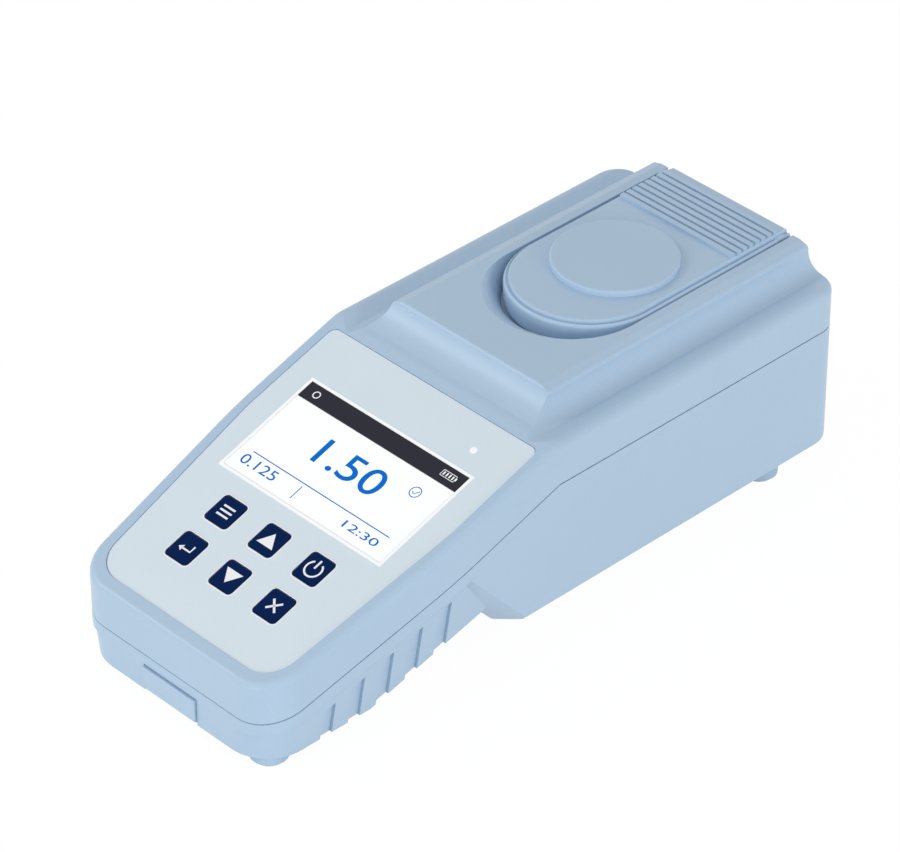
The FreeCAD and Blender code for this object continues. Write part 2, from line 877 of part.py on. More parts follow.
# Lid hinge line and sill.
lid_top = deck_height + lid_rise
hinge_height = lid_top - hinge_drop - barrel_half
sill = box(
    "hinge_sill",
    (-recess_half, recess_half),
    (along(hinge_along - barrel_half), rear_face),
    (recess_floor - wall / 2, hinge_height - barrel_half - sill_gap),
)
hinge_hole = rod("hinge_hole", hinge_pin + 2 * fit, recess_width + 2 * hinge_pin_reach + 2 * fit,
                 -recess_half - hinge_pin_reach - fit, along(hinge_along), hinge_height, "x")
lid_hinge_pin = rod("lid_hinge_pin", hinge_pin, recess_width + 2 * hinge_pin_reach,
                    -recess_half - hinge_pin_reach, along(hinge_along), hinge_height, "x")
well_hole = rod("well_hole", well_neck + 2 * ease, lid_floor, 0, along(well_along),
                recess_floor - 2 * wall)

upper_outer = cut("upper_outer", join("upper_mass", upper_form, deck_form), *cove_tools)
upper_shell = cut("upper_shell", upper_outer, recess_form, upper_hollow, deck_hollow)

# Bosses stop at the parting surface.
above_seam = body("above_seam")
seam_side = [
    (front_face, parting_height(0) + half_gap),
    (along(crest), parting_top + half_gap),
    (rear_face, parting_top + half_gap),
    (rear_face, deck_height),
    (front_face, deck_height),
]
above_seam_sketch = draw(above_seam, "above_seam_side", "YZ_Plane", [seam_side])
pad(above_seam, "above_seam_block", above_seam_sketch, width, True)
upper_boss_set = overlap("upper_boss_set", join("upper_boss_mass", *upper_bosses), above_seam)
upper_casing = cut(
    "upper_casing",
    join("upper_body", upper_shell, upper_boss_set, sill, *posts),
    recess_cut,
    *window_cuts,
    *upper_pilots,
    *post_pilots,
    hinge_hole,
    well_hole,
)

# Lower casing, outer form: rim band and rear box in one side view.
fall = tangent(box_front_angle)


def rim_bottom(distance):
    return parting_height(distance) - half_gap - rim_height


knee = (box_clearance + fall * box_front - rim_bottom(0)) / (slope + fall)
knee_height = rim_bottom(knee)
heel = (box_clearance + fall * box_front - grip_clearance + slope * grip_flat) / (slope + fall)
heel_height = grip_clearance + slope * (heel - grip_flat)

lower_form = body("lower_form")
lower_side = [
    (front_face, rim_bottom(0)),
    (along(knee), knee_height),
    (along(box_front), box_clearance),
    (rear_face, box_clearance),
    (rear_face, parting_top - half_gap),
    (along(crest), parting_top - half_gap),
    (front_face, parting_height(0) - half_gap),
]
pad(lower_form, "lower_block", draw(lower_form, "lower_side", "YZ_Plane", [lower_side]), width + wall,
    True)
trim_to_plan(lower_form, "lower", as_size(0))
round_edges(
    lower_form,
    "box_edges",
    box_edge,
    lambda edge: near(middle_of(edge).z, box_clearance),
)

# The rear box falls back at its front corners.
grip_half = half_width - grip_tuck


def corner_cut(label, side, setback):
    wedge = body(label)
    below_box = box_clearance - fall * wall
    ahead = knee - box_front / 2
    outline = [
        (along(knee), knee_height),
        (along(box_front + wall), below_box),
        (along(ahead), below_box),
        (along(ahead), knee_height - slope * box_front / 2),
    ]
    sketch = draw(wedge, label + "_side", "YZ_Plane", [outline], side * grip_half)
    feature = wedge.newObject("PartDesign::Pad", label + "_pad")
    feature.Profile = sketch
    feature.UseCustomVector = True
    feature.Direction = Vector(side, corner_run.value, 0)
    bind(feature, "Direction.y", corner_run)
    bind(feature, "Direction.z", corner_run * slope)
    feature.AlongSketchNormal = True
    bind(feature, "Length", half_width - grip_half + wall)
    doc.recompute()
    return place(wedge, 0, setback, 0)


sides = (("right", 1), ("left", -1))
corner_cuts = [corner_cut(f"corner_cut_{name}", side, 0) for name, side in sides]
lower_outer = cut("lower_outer", lower_form, *corner_cuts)


# Grip: a trough with drafted sides, its bottom parallel to the panel behind the flat.
def grip_side(rise, front):
    normal_rise = rise / cosine(panel_tilt)
    bend = grip_flat - (normal_rise - rise) / slope
    tail = 3 * wall
    return [
        (front, grip_clearance + rise),
        (along(bend), grip_clearance + rise),
        (along(heel + tail), heel_height + slope * tail + normal_rise),
        (along(heel + tail), rim_bottom(heel) + rim_height / 8),
        (front, rim_bottom(0) + rim_height / 8),
    ]


def trough(label, outline, inset, front_inset):
    grip = body(label)
    pad(grip, label + "_block", draw(grip, label + "_side", "YZ_Plane", [outline]), width + wall, True)
    lean = tangent(grip_draft)
    foot = grip_half - inset
    sides = []
    for side in (1, -1):
        sides.append([
            (side * (foot - lean * grip_clearance), 0),
            (side * width, 0),
            (side * width, deck_height),
            (side * (foot + lean * (deck_height - grip_clearance)), deck_height),
        ])
    pocket_through(grip, label + "_sides", draw(grip, label + "_draft", "XZ_Plane", sides))
    round_edges(
        grip,
        label + "_corners",
        front_round - front_inset,
        lambda edge: near(middle_of(edge).y, front_face + front_inset) and not runs_along(edge, X_WAY),
    )
    return grip


grip_outer = trough("grip_outer", grip_side(as_size(0), front_face), as_size(0), as_size(0))
grip_core = trough("grip_core", grip_side(as_size(0), front_face), channel_depth, as_size(0))
channel_form = body("channel_form")
channels = []
for index in range(int(channel_count.value)):
    station = channel_first + index * channel_pitch
    front_edge = station - channel_width / 2
    rear_edge = station + channel_width / 2
    channels.append([
        (along(front_edge), 0),
        (along(rear_edge), 0),
        (along(rear_edge), rim_bottom(rear_edge) - channel_drop),
        (along(front_edge), rim_bottom(front_edge) - channel_drop),
    ])
channel_sketch = draw(channel_form, "channel_sides", "YZ_Plane", channels)
pad(channel_form, "channel_cut", channel_sketch, width + wall, True)
grip_ribbed = cut("grip_ribbed", grip_outer, channel_form)

# Lower casing, hollow side.
grip_inset = wall + channel_depth
hollow_end = heel + box_front / 4
grip_hollow = trough(
    "grip_hollow",
    [
        (front_face + wall, grip_clearance + wall),
        (along(grip_flat), grip_clearance + wall),
        (along(hollow_end), grip_clearance + wall + slope * (hollow_end - grip_flat)),
        (along(hollow_end), shoulder_height),
        (front_face + wall, shoulder_height),
    ],
    grip_inset,
    wall,
)
box_hollow = body("box_hollow")
thick_front = wall / sine(box_front_angle)
hollow_foot = box_front + thick_front
box_hollow_side = [
    (along(hollow_foot - wall / fall), box_clearance + wall),
    (rear_face - wall, box_clearance + wall),
    (rear_face - wall, deck_height),
    (along(knee), deck_height),
    (along(knee + thick_front), knee_height),
]
box_hollow_sketch = draw(box_hollow, "box_hollow_side", "YZ_Plane", [box_hollow_side])
pad(box_hollow, "box_hollow_block", box_hollow_sketch, width + wall, True)
trim_to_plan(box_hollow, "box_hollow", wall)
hollow_corners = [corner_cut(f"hollow_corner_{name}", side, 2 * wall) for name, side in sides]
box_space = cut("box_space", box_hollow, *hollow_corners)

# Port: a framed opening behind the cover's shallow seat in the front face.
cover_half = cover_width / 2
port_half = port_width / 2
port_frame_block = box(
    "port_frame_block",
    (-cover_half - port_frame, cover_half + port_frame),
    (front_face + wall / 2, front_face + port_depth - cover_gap),
    (grip_clearance, cover_top + port_frame),
)
port_opening = box(
    "port_opening",
    (-port_half, port_half),
    (front_face - wall, front_face + port_depth + wall),
    (port_bottom, port_bottom + port_height),
)
cover_pivot_along = front_face + cover_knuckle
cover_seat = box(
    "cover_seat",
    (-cover_half - cover_gap, cover_half + cover_gap),
    (front_face - wall, front_face + cover_thickness + cover_gap),
    (grip_clearance - wall, cover_top + cover_nail),
)
knuckle_seat = rod("knuckle_seat", 2 * (cover_knuckle + cover_gap), cover_width + 2 * cover_gap,
                   -cover_half - cover_gap, cover_pivot_along, cover_pivot_height, "x")
knuckle_below = box(
    "knuckle_below",
    (-cover_half - cover_gap, cover_half + cover_gap),
    (front_face - wall, cover_pivot_along + cover_knuckle + cover_gap),
    (grip_clearance - wall, cover_pivot_height),
)
cover_pin_length = cover_width + 2 * cover_gap + 2 * cover_pin_reach
cover_pin_hole = rod("cover_pin_hole", cover_pin + 2 * fit, cover_pin_length + 2 * fit,
                     -cover_pin_length / 2 - fit, cover_pivot_along, cover_pivot_height, "x")
port_cover_pin = rod("port_cover_pin", cover_pin, cover_pin_length,
                     -cover_pin_length / 2, cover_pivot_along, cover_pivot_height, "x")
cover_plate = box(
    "cover_plate",
    (-cover_half, cover_half),
    (front_face - cover_proud, front_face + cover_thickness),
    (cover_pivot_height, cover_top),
)
cover_roll = rod("cover_roll", 2 * cover_knuckle, cover_width, -cover_half, cover_pivot_along,
                 cover_pivot_height, "x")
cover_bore = rod("cover_bore", cover_pin + 2 * fit, cover_width + 2 * overrun, -cover_half - overrun,
                 cover_pivot_along, cover_pivot_height, "x")
port_cover = cut("port_cover", join("cover_blank", cover_plate, cover_roll), cover_bore)

# Lower casing, put together.
below_seam = body("below_seam")
below_side = [
    (front_face, grip_clearance),
    (rear_face, grip_clearance),
    (rear_face, parting_top - half_gap),
    (along(crest), parting_top - half_gap),
    (front_face, parting_height(0) - half_gap),
]
below_seam_sketch = draw(below_seam, "below_seam_side", "YZ_Plane", [below_side])
pad(below_seam, "below_seam_block", below_seam_sketch, width, True)
lower_boss_set = overlap("lower_boss_set", join("lower_boss_mass", *lower_bosses), below_seam)
lower_mass = join("lower_mass", lower_outer, grip_ribbed, grip_core)
lower_shell = cut("lower_shell", lower_mass, grip_hollow, box_space)
lower_casing = cut(
    "lower_casing",
    join("lower_body", lower_shell, lower_boss_set, port_frame_block),
    *screw_holes,
    port_opening,
    cover_seat,
    knuckle_seat,
    knuckle_below,
    cover_pin_hole,
)

# Seal lying in the joint between the casings.
seam_band = body("seam_band")
seam_band_side = [
    (front_face, parting_height(0) - half_gap),
    (along(crest), parting_top - half_gap),
    (rear_face, parting_top - half_gap),
    (rear_face, parting_top + half_gap),
    (along(crest), parting_top + half_gap),
    (front_face, parting_height(0) + half_gap),
]
seam_band_sketch = draw(seam_band, "seam_band_side", "YZ_Plane", [seam_band_side])
pad(seam_band, "seam_band_block", seam_band_sketch, width, True)


def plan_prism(label, inset):
    prism = body(label)
    pad(prism, label + "_pad", draw(prism, label + "_plan", "XY_Plane", [plan_outline(inset)]),
        deck_height)
    return prism


seam_outside = plan_prism("seam_outside", seam_inset)
seam_inside = plan_prism("seam_inside", seam_inset + seam_width)
seam_ring = cut("seam_ring", seam_outside, seam_inside)
seam_gasket = overlap("seam_gasket", seam_band, seam_ring)

# Feet.
foot_sets = {"front_feet": [], "rear_feet": []}
for side, side_name in ((1, "right"), (-1, "left")):
    for set_name, spacing, station, height in (
        ("front_feet", front_width - 2 * front_foot_tuck, front_foot_along, grip_clearance),
        ("rear_feet", width - 2 * rear_foot_tuck, length - rear_foot_setback, box_clearance),
    ):
        foot = body(f"{set_name}_{side_name}")
        radius = foot_diameter / 2
        profile = [
            (0, 0),
            (radius - foot_edge, 0),
            (radius, foot_edge),
            (radius, height),
            (0, height),
        ]
        foot_sketch = draw(foot, f"{set_name}_{side_name}_profile", "XZ_Plane", [profile])
        turned = foot.newObject("PartDesign::Revolution", f"{set_name}_{side_name}_turned")
        turned.Profile = foot_sketch
        turned.ReferenceAxis = (foot_sketch, ["V_Axis"])
        turned.Angle = 360
        doc.recompute()
        foot_sets[set_name].append(place(foot, side * spacing / 2, along(station), 0))
front_feet = group("front_feet", *foot_sets["front_feet"])
rear_feet = group("rear_feet", *foot_sets["rear_feet"])

# Display: a white bezel round the glass of the module, both seated in the panel's opening.
display_bezel = cut(
    "display_bezel",
    panel_box(
        "bezel_blank",
        (-bezel_width / 2, bezel_width / 2),
        (bezel_start, bezel_start + bezel_height),
        (underside, -bezel_sink),
    ),
    panel_box(
        "bezel_opening",
        (bezel_border - bezel_width / 2, bezel_width / 2 - bezel_border),
        (bezel_start + bezel_border, bezel_start + bezel_height - bezel_border),
        (underside - wall, wall),
    ),
)
module_can = panel_box(
    "module_can",
    (-bezel_width / 2 - module_border, bezel_width / 2 + module_border),
    (bezel_start - module_border, bezel_start + bezel_height + module_border),
    (board_front, underside),
)
module_glass = panel_box(
    "module_glass",
    (bezel_border - bezel_width / 2 + fit, bezel_width / 2 - bezel_border - fit),
    (bezel_start + bezel_border + fit, bezel_start + bezel_height - bezel_border - fit),
    (underside, -glass_sink),
)
lcd_module = join("lcd_module", module_can, module_glass)

# Status lamp: a light pipe standing on its chip.
chip_top = board_front + lamp_chip_height
status_lamp = panel_rod("status_lamp", lamp_diameter, lamp_across, lamp_along,
                        (chip_top, sheet_face + key_rise / 2))
lamp_chip_body = panel_box("lamp_chip_body", spread(lamp_across, lamp_chip), spread(lamp_along, lamp_chip),
                           (board_front, chip_top))

# Keys and the switches under them.
switch_face = board_front + switch_height
keys = []
switch_list = []
for key_name, across, up in key_places:
    cap = panel_tile(f"{key_name}_cap", (across, key_width / 2), (up, key_length / 2),
                     (underside - key_flange_thickness, sheet_face + key_rise), key_round)
    flange = panel_box(f"{key_name}_flange", spread(across, key_width + 2 * key_flange),
                       spread(up, key_length + 2 * key_flange),
                       (underside - key_flange_thickness, underside))
    stem = panel_rod(f"{key_name}_stem", stem_diameter, across, up,
                     (switch_face - stem_grip, underside - key_flange_thickness))
    keys.append(join(f"key_{key_name}", cap, flange, stem))
    housing = panel_box(f"{key_name}_switch_block", spread(across, switch_width), spread(up, switch_width),
                        (board_front, switch_face))
    socket = panel_rod(f"{key_name}_switch_socket", stem_diameter + 2 * fit, across, up,
                       (switch_face - stem_grip - key_travel - ease, switch_face + wall))
    switch_list.append(cut(f"{key_name}_switch", housing, socket))
key_switches = group("key_switches", *switch_list)

board_blank = panel_box("board_blank", (-board_width / 2, board_width / 2), (board_start, board_end),
                        (board_back, board_front))
main_board = join("main_board", cut("board_drilled", board_blank, *post_pilots), lamp_chip_body)

# Battery: two cells lying across in a saddle on the sloping floor.
floor_top = grip_clearance + wall
cell_low = floor_top + cradle_floor + cell_diameter / 2
second_along = cell_front + cell_pitch
sloped_floor = floor_top + slope * (second_along - grip_flat)
cell_high = sloped_floor + (cradle_floor + cell_diameter / 2) / cosine(panel_tilt)
cells = []
cell_seats = []
for cell_name, station, level in (("front", cell_front, cell_low), ("rear", second_along, cell_high)):
    cells.append(rod(f"cell_{cell_name}", cell_diameter, cell_length, -cell_length / 2, along(station),
                     level, "x"))
    cell_seats.append(rod(f"cell_seat_{cell_name}", cell_diameter + 2 * fit, cradle_width + 2 * overrun,
                          -cradle_width / 2 - overrun, along(station), level, "x"))
battery_cells = group("battery_cells", *cells)
cradle_form = body("cradle_form")
cradle_side = [
    (along(cradle_start), floor_top),
    (along(grip_flat), floor_top),
    (along(cradle_end), floor_top + slope * (cradle_end - grip_flat)),
    (along(cradle_end), floor_top + slope * (cradle_end - grip_flat) + cradle_rise),
    (along(cradle_start), floor_top + cradle_rise),
]
cradle_sketch = draw(cradle_form, "cradle_side", "YZ_Plane", [cradle_side])
pad(cradle_form, "cradle_block", cradle_sketch, cradle_width, True)
battery_cradle = cut("battery_cradle", cradle_form, *cell_seats)

# Port board with its receptacle.
board_top = floor_top + port_board_thickness
port_back = front_face + port_depth
port_board = box(
    "port_board",
    (-port_board_width / 2, port_board_width / 2),
    (port_back, port_back + port_board_length),
    (floor_top, board_top),
)
shell = box(
    "connector_shell",
    (-connector_width / 2, connector_width / 2),
    (port_back, port_back + connector_length),
    (board_top, board_top + connector_height),
)
shell_space = box(
    "connector_space",
    (connector_skin - connector_width / 2, connector_width / 2 - connector_skin),
    (port_back - wall, port_back + connector_length - connector_skin),
    (board_top + connector_skin, board_top + connector_height - connector_skin),
)
tongue = box(
    "connector_tongue",
    (-tongue_width / 2, tongue_width / 2),
    (port_back + connector_skin, port_back + connector_length),
    spread(board_top + connector_height / 2, tongue_thickness),
)
port_connector = join("port_connector", cut("connector_can", shell, shell_space), tongue)

# Sample well: a block standing on the floor, a neck, and a flange on the recess floor.
well_base = box_clearance + wall
well_top = recess_floor + well_flange_thickness
centre_line = along(well_along)
block_half = block_width / 2
beam = well_base + beam_height
well_block = box("well_block", (-block_half, block_half), spread(centre_line, block_width),
                 (well_base, well_base + block_height))
neck = rod("well_neck_tube", well_neck, recess_floor - well_base, 0, centre_line, well_base)
flange = rod("well_flange_ring", well_flange, well_flange_thickness, 0, centre_line, recess_floor)
vial_space = rod("vial_space", vial_bore, deck_height, 0, centre_line, well_base + well_floor)
beam_path = rod("beam_path", beam_bore, block_width + 2 * overrun, -block_half - overrun, centre_line,
                beam, "x")
sample_well = cut("sample_well", join("well_blank", well_block, neck, flange), vial_space, beam_path)

# Light source on the left of the well, detector on the right, each in a holder with a board.
optics = {}
screws = []
holder_end = block_half + holder_length
for side, side_name in ((-1, "source"), (1, "detector")):

    def span(near_end, far_end):
        ends = sorted((side * near_end, side * far_end), key=lambda item: item.value)
        return ends[0], ends[1]

    def barrel(label, diameter, near_end, far_end):
        low, high = span(near_end, far_end)
        return rod(label, diameter, high - low, low, centre_line, beam, "x")

    part_diameter = source_diameter if side < 0 else detector_diameter
    part_length = source_length if side < 0 else detector_length
    disc_size = lens_diameter if side < 0 else filter_diameter
    disc_depth = lens_thickness if side < 0 else filter_thickness
    flange_start = holder_end - base_flange_thickness
    holder_block = box(f"{side_name}_holder_block", span(block_half, holder_end),
                       spread(centre_line, holder_width), spread(beam, holder_width))
    bores = [
        barrel(f"{side_name}_disc_seat", disc_size + 2 * fit, block_half, block_half + disc_depth),
        barrel(f"{side_name}_aperture", beam_bore, block_half, holder_end),
        barrel(f"{side_name}_bore", part_diameter + 2 * fit, holder_end - part_length - ease, holder_end),
        barrel(f"{side_name}_base_seat", part_diameter + 2 * base_flange + 2 * fit, flange_start,
               holder_end),
    ]
    board_low, board_high = span(holder_end, holder_end + board_thickness)
    board = box(f"{side_name}_board_blank", (board_low, board_high),
                spread(centre_line, optic_board_width),
                spread(beam, optic_board_height))
    holes = []
    for corner_name, dy, dz in (("upper", 1, 1), ("lower", -1, -1)):
        y = centre_line + dy * optic_screw_spread / 2
        z = beam + dz * optic_screw_spread / 2
        board_outside = holder_end + board_thickness
        tip = board_outside - small_bite - board_thickness
        shank_low, shank_high = span(tip, board_outside)
        hole_low, hole_high = span(tip - ease, board_outside + overrun)
        head_low, head_high = span(board_outside, board_outside + small_head_height)
        name = f"{side_name}_{corner_name}"
        screw_shank = rod(f"{name}_shank", small_screw, shank_high - shank_low, shank_low, y, z, "x")
        screw_cap = rod(f"{name}_head", small_head, head_high - head_low, head_low, y, z, "x")
        screws.append(join(f"{name}_screw", screw_shank, screw_cap))
        holes.append(rod(f"{name}_hole", small_screw + 2 * fit, hole_high - hole_low, hole_low, y, z, "x"))
    optics[f"{side_name}_holder"] = cut(f"{side_name}_holder", holder_block, *bores, *holes)
    optics[f"{side_name}_board"] = cut(f"{side_name}_board", board, *holes)
    base = barrel(f"{side_name}_base", part_diameter + 2 * base_flange, flange_start, holder_end)
    can = barrel(f"{side_name}_can", part_diameter, holder_end - part_length, holder_end)
    disc = barrel(f"{side_name}_disc", disc_size, block_half, block_half + disc_depth)
    if side < 0:
        optics["light_source"] = join("light_source", base, can)
        optics["collimating_lens"] = disc
        disc.Label = "collimating_lens"
    else:
        optics["detector"] = join("detector", base, can)
        optics["optical_filter"] = disc
        disc.Label = "optical_filter"
optics_screws = group("optics_screws", *screws)


# Lid: a shell with a round nose, turned into a barrel at its hinge.
def lid_outline(inset, rear):
    half = lid_half - inset
    return channel_outline(half, lid_nose + lid_half, rear)


lid_form = body("lid_form")
lid_bottom = lid_top - lid_skirt
lid_brim = lid_top - lid_step
lid_ceiling = lid_top - lid_wall
lid_tail = along(hinge_along + lid_overhang)
lid_sketch = draw(lid_form, "lid_plan", "XY_Plane", [lid_outline(as_size(0), lid_tail)], lid_bottom)
pad(lid_form, "lid_block", lid_sketch, lid_brim - lid_bottom)
round_edges(
    lid_form,
    "lid_edge_round",
    lid_edge,
    lambda edge: near(middle_of(edge).z, lid_brim) and not near(middle_of(edge).y, lid_tail),
)
lid_plate = body("lid_plate")
plate_sketch = draw(lid_plate, "plate_plan", "XY_Plane", [lid_outline(plate_inset, lid_tail)], lid_ceiling)
pad(lid_plate, "plate_block", plate_sketch, lid_wall)
round_edges(
    lid_plate,
    "plate_edge_round",
    plate_edge,
    lambda edge: near(middle_of(edge).z, lid_top),
)
lid_space = body("lid_space")
lid_rear_wall = hinge_along - barrel_half - hinge_gap
space_outline = lid_outline(lid_wall, along(lid_rear_wall - lid_wall))
space_sketch = draw(lid_space, "lid_space_plan", "XY_Plane", [space_outline], lid_bottom - wall)
pad(lid_space, "lid_space_block", space_sketch, lid_ceiling - lid_bottom + wall)
behind_skirt = box(
    "behind_skirt",
    (-recess_half, recess_half),
    (along(lid_rear_wall), rear_face),
    (lid_bottom - wall, lid_ceiling),
)
groove_form = body("groove_form")
groove_rear = lid_tail + overrun
groove_inner = lid_half - plate_inset
groove_outer = groove_inner + lid_groove
nose_centre = lid_nose + lid_half
groove_plan = [
    (-groove_outer, groove_rear),
    (-groove_outer, along(nose_centre)),
    (0, along(nose_centre - groove_outer), groove_outer),
    (groove_outer, along(nose_centre), groove_outer),
    (groove_outer, groove_rear),
    (groove_inner, groove_rear),
    (groove_inner, along(nose_centre)),
    (0, along(nose_centre - groove_inner), -groove_inner),
    (-groove_inner, along(nose_centre), -groove_inner),
    (-groove_inner, groove_rear),
]
groove_level = lid_brim - lid_groove_depth
groove_sketch = draw(groove_form, "groove_plan", "XY_Plane", [groove_plan], groove_level)
pad(groove_form, "groove_ring", groove_sketch, lid_groove_depth + overrun)
lid_disc = body("lid_disc")
disc_radius = disc_diameter / 2
disc_profile = [
    (0, lid_ceiling),
    (disc_radius, lid_ceiling),
    (disc_radius, lid_top + disc_height - disc_edge),
    (disc_radius - disc_edge, lid_top + disc_height, disc_edge),
    (0, lid_top + disc_height),
]
disc_sketch = draw(lid_disc, "disc_profile", "XZ_Plane", [disc_profile])
disc_turned = lid_disc.newObject("PartDesign::Revolution", "disc_turned")
disc_turned.Profile = disc_sketch
disc_turned.ReferenceAxis = (disc_sketch, ["V_Axis"])
disc_turned.Angle = 360
doc.recompute()
place(lid_disc, 0, centre_line, 0)
ribs = []
ribs_end = hinge_along - rib_setback
for index in range(int(rib_count.value)):
    rib_front = ribs_end - rib_width - index * rib_pitch
    ribs.append(box(
        f"lid_rib_{index + 1}",
        (rib_margin - lid_half, lid_half - rib_margin),
        (along(rib_front), along(rib_front + rib_width)),
        (lid_ceiling + wall / 4, lid_top + rib_height),
    ))
seal_outer = disc_diameter - 2 * disc_edge
seal_inner = seal_outer - 2 * seal_width
seal_bottom = well_top + seal_gap
seal_top = seal_bottom + seal_thickness
seal_wall = rod("seal_wall", seal_outer, lid_ceiling + wall / 4 - seal_top, 0, centre_line, seal_top)
head_height = lid_top + disc_height - lid_wall - seal_bottom
head_room = rod("head_room", seal_inner, head_height, 0, centre_line, seal_bottom)
lid_barrel = rod("lid_barrel", hinge_barrel, 2 * lid_half, -lid_half, along(hinge_along), hinge_height,
                 "x")
barrel_bore = rod("barrel_bore", hinge_pin + 2 * fit, 2 * (lid_half + overrun), -lid_half - overrun,
                  along(hinge_along), hinge_height, "x")
lid_shell = cut("lid_shell", lid_form, lid_space, behind_skirt, groove_form)
lid_mass = join("lid_mass", lid_shell, lid_plate, lid_barrel, lid_disc, seal_wall, *ribs)
lid = cut("lid", lid_mass, head_room, barrel_bore)
seal_ring = rod("seal_ring", seal_outer, seal_thickness, 0, centre_line, seal_bottom)
seal_eye = rod("seal_eye", seal_inner, seal_thickness + 2 * overrun, 0, centre_line, seal_bottom - overrun)
lid_seal = cut("lid_seal", seal_ring, seal_eye)

doc.recompute()

nodes = [
    upper_casing, lower_casing, seam_gasket, casing_screws, front_feet, rear_feet,
    panel_overlay, display_bezel, lcd_module, status_lamp, key_switches, main_board, board_screws,
    battery_cells, battery_cradle, port_board, port_connector, port_cover, port_cover_pin,
    sample_well, optics_screws, lid, lid_seal, lid_hinge_pin,
] + keys + list(optics.values())

for item in doc.Objects:
    if "Invalid" in item.State or "Error" in item.State:
        raise RuntimeError(f"{item.Label} failed: {item.State}")
for node in nodes:
    if node.Shape.isNull() or not node.Shape.isValid():
        raise RuntimeError(f"{node.Label} has no valid shape")
    solids = len(node.Shape.Solids)
    print(f"{node.Label}: {solids} solid(s), {node.Shape.Volume / 1000:.2f} cm3")
    node.Shape.exportStep(f"parts/{node.Label}.step")
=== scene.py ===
import math

import bmesh
import bpy
from mathutils import Matrix, Vector


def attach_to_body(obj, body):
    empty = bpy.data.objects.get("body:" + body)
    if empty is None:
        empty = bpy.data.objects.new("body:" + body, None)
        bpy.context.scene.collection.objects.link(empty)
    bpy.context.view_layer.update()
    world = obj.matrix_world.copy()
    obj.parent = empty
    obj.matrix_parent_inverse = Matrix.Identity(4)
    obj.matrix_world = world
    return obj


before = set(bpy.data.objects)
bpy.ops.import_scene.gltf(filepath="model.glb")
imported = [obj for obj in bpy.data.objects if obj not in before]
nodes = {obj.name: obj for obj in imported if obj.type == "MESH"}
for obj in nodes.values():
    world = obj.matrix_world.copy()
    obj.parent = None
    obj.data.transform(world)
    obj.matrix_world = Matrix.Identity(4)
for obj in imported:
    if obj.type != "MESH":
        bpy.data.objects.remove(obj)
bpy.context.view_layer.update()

# Camera
# A long lens looks down on the instrument's front right corner, from about the distance
# of someone standing at the bench.
look_azimuth = 46.18
look_elevation = 35.849
look_distance = 1.3811
look_at = Vector((-0.0031, 0.001, 0.0406))


def out_towards(azimuth, elevation):
    turn, rise = math.radians(azimuth), math.radians(elevation)
    return Vector((math.sin(turn) * math.cos(rise), -math.cos(turn) * math.cos(rise), math.sin(rise)))


backwards = out_towards(look_azimuth, look_elevation)
lens = bpy.data.cameras.new("bench_camera")
lens.sensor_width = 36.0
lens.lens = 192.63
lens.shift_x = -0.0035
lens.shift_y = 0.0064
lens.clip_start = 0.05
lens.clip_end = 30.0
camera = bpy.data.objects.new("bench_camera", lens)
camera.location = look_at + backwards * look_distance
camera.rotation_mode = "QUATERNION"
camera.rotation_quaternion = (-backwards).to_track_quat("-Z", "Y")
bpy.context.scene.collection.objects.link(camera)
bpy.context.scene.camera = camera

# Table, backdrop and lamps
# A pale table runs out into a white room, which gives most of the light. Low lamps in front
# and at the right light the upright faces and aren't mirrored in them, and a small lamp at the
# front left picks out the edges.
scene = bpy.context.scene
scene.view_settings.view_transform = "Standard"


def lay(tree, kind, feeds=None, **fields):
    node = tree.nodes.new(kind)
    for name, value in fields.items():
        setattr(node, name, value)
    for name, value in (feeds or {}).items():
        if isinstance(value, bpy.types.NodeSocket):
            tree.links.new(value, node.inputs[name])
        else:
            node.inputs[name].default_value = value
    return node


def seen_directly(tree):
    rays = lay(tree, "ShaderNodeLightPath")
    either = lay(tree, "ShaderNodeMath", operation="MAXIMUM")
    tree.links.new(rays.outputs["Is Glossy Ray"], either.inputs[0])
    tree.links.new(rays.outputs["Is Transmission Ray"], either.inputs[1])
    seen = lay(tree, "ShaderNodeMath", operation="MAXIMUM")
    tree.links.new(rays.outputs["Is Camera Ray"], seen.inputs[0])
    tree.links.new(either.outputs[0], seen.inputs[1])
    return seen.outputs[0]


room_light = 0.61
room_tint = (0.96, 0.98, 1.0, 1.0)
pure_white = (1.0, 1.0, 1.0, 1.0)
room = bpy.data.worlds.new("white_room")
scene.world = room
room.use_nodes = True
room.node_tree.nodes.clear()
plain = lay(room.node_tree, "ShaderNodeBackground", {"Color": room_tint, "Strength": room_light})
white = lay(room.node_tree, "ShaderNodeBackground", {"Color": pure_white, "Strength": 1.0})
chosen = lay(room.node_tree, "ShaderNodeMixShader", {"Fac": seen_directly(room.node_tree)})
room.node_tree.links.new(plain.outputs[0], chosen.inputs[1])
room.node_tree.links.new(white.outputs[0], chosen.inputs[2])
lay(room.node_tree, "ShaderNodeOutputWorld", {"Surface": chosen.outputs[0]})

table_colour = (0.85, 0.85, 0.845, 1.0)
table_glow = 1.021
glow_share = 0.95
table_finish = bpy.data.materials.new("white_table")
table_finish.use_nodes = True
tree = table_finish.node_tree
tree.nodes.clear()
surface = lay(tree, "ShaderNodeBsdfDiffuse", {"Color": table_colour})
glow = lay(tree, "ShaderNodeEmission", {"Color": pure_white, "Strength": table_glow})
share = lay(tree, "ShaderNodeMath", {0: seen_directly(tree), 1: glow_share}, operation="MULTIPLY")
blend = lay(tree, "ShaderNodeMixShader", {"Fac": share.outputs[0]})
tree.links.new(surface.outputs[0], blend.inputs[1])
tree.links.new(glow.outputs[0], blend.inputs[2])
lay(tree, "ShaderNodeOutputMaterial", {"Surface": blend.outputs[0]})

